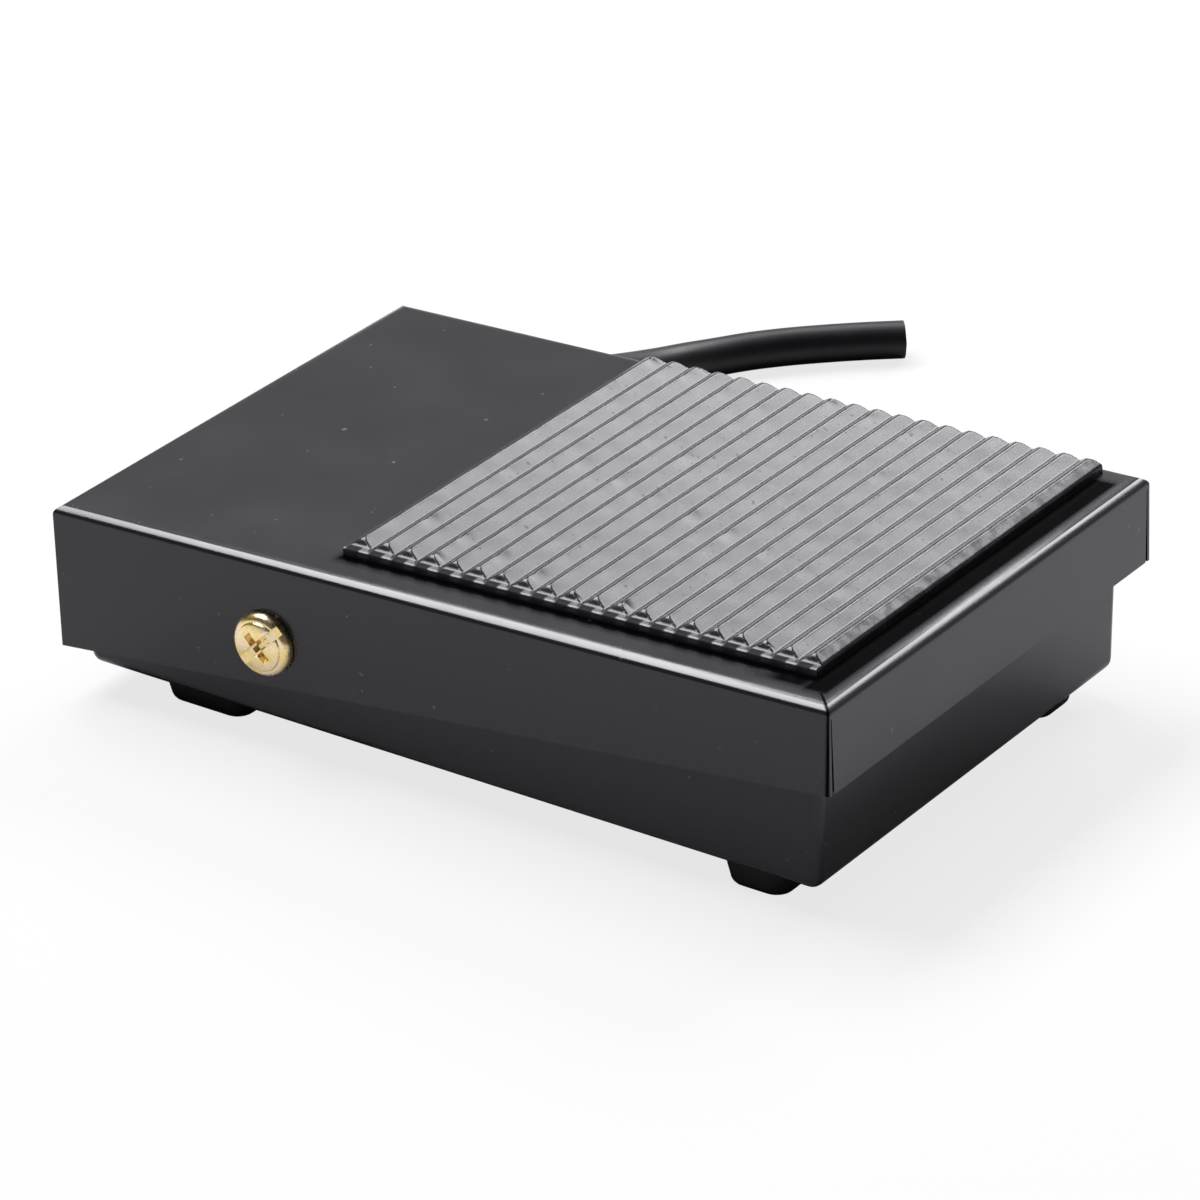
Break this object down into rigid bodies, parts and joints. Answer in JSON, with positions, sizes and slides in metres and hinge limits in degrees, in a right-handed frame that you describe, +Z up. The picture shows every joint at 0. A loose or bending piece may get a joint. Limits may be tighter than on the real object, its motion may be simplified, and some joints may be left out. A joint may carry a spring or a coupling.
{
  "type": "foot switch",
  "caption": "Low rectangular foot switch: a hinged steel pedal with a ribbed tread over a steel base on rubber feet, with a short cable.",
  "frame": {"origin": "middle of the object's underside at floor level, under the feet, leaving the free cable out", "axes": "+X towards the toe end of the pedal, +Z up, +Y towards the side that the cable leaves"},
  "size_m": [0.0983, 0.129, 0.0276],
  "materials": {
    "base_paint": "gloss black paint",
    "cover_paint": "gloss black paint",
    "tread_plastic": "gloss black moulded plastic",
    "foot_rubber": "matte black rubber",
    "yellow_zinc": "yellow passivated zinc",
    "bright_zinc": "bright zinc plate",
    "nylon_white": "natural nylon",
    "spring_steel": "drawn spring wire",
    "switch_plastic": "moulded phenolic",
    "plunger_plastic": "red moulded plastic",
    "terminal_brass": "rolled brass",
    "sleeve_plastic": "grey soft vinyl",
    "grommet_rubber": "black rubber",
    "cable_jacket": "black vinyl jacket",
    "brown_insulation": "brown vinyl",
    "blue_insulation": "blue vinyl"
  },
  "bodies": {
    "base": {"base_tray": "base_paint", "foot_front_near": "foot_rubber", "foot_front_far": "foot_rubber", "foot_rear_near": "foot_rubber", "foot_rear_far": "foot_rubber", "pivot_screw_near": "yellow_zinc", "pivot_screw_far": "yellow_zinc", "pivot_nut_near": "bright_zinc", "pivot_nut_far": "bright_zinc", "pivot_washer_near": "nylon_white", "pivot_washer_far": "nylon_white", "spring_seat": "bright_zinc", "return_spring": "spring_steel", "switch_case": "switch_plastic", "switch_lid": "switch_plastic", "switch_bracket": "bright_zinc", "switch_screws": "bright_zinc", "switch_nuts": "bright_zinc", "terminal_common": "terminal_brass", "terminal_closed": "terminal_brass", "terminal_open": "terminal_brass", "sleeve_common": "sleeve_plastic", "sleeve_open": "sleeve_plastic", "cable_grommet": "grommet_rubber", "cable_tail": "cable_jacket", "core_brown": "brown_insulation", "core_blue": "blue_insulation", "saddle_lower": "nylon_white", "saddle_upper": "nylon_white", "saddle_screws": "bright_zinc", "cable": "cable_jacket"},
    "pedal": {"pedal_cover": "cover_paint", "tread_pad": "tread_plastic", "spring_cap": "bright_zinc"},
    "plunger": {"switch_plunger": "plunger_plastic"}
  },
  "joints": [
    {"name": "pedal_hinge", "type": "hinge", "parent": "base", "child": "pedal", "pos_m": [-0.021, 0, 0.0137], "axis": [0, 1, 0], "range_deg": [0, 3], "stiffness_Nm_per_rad": 1.9, "springref_deg": -7.45, "deforming": ["return_spring"]},
    {"name": "plunger_slide", "type": "slide", "parent": "base", "child": "plunger", "axis": [0, 0, -1], "range_m": [0, 0.0017]}
  ],
  "couplings": [
    {"joint": "plunger_slide", "follows": "pedal_hinge", "m_per_rad": 0.0306}
  ]
}
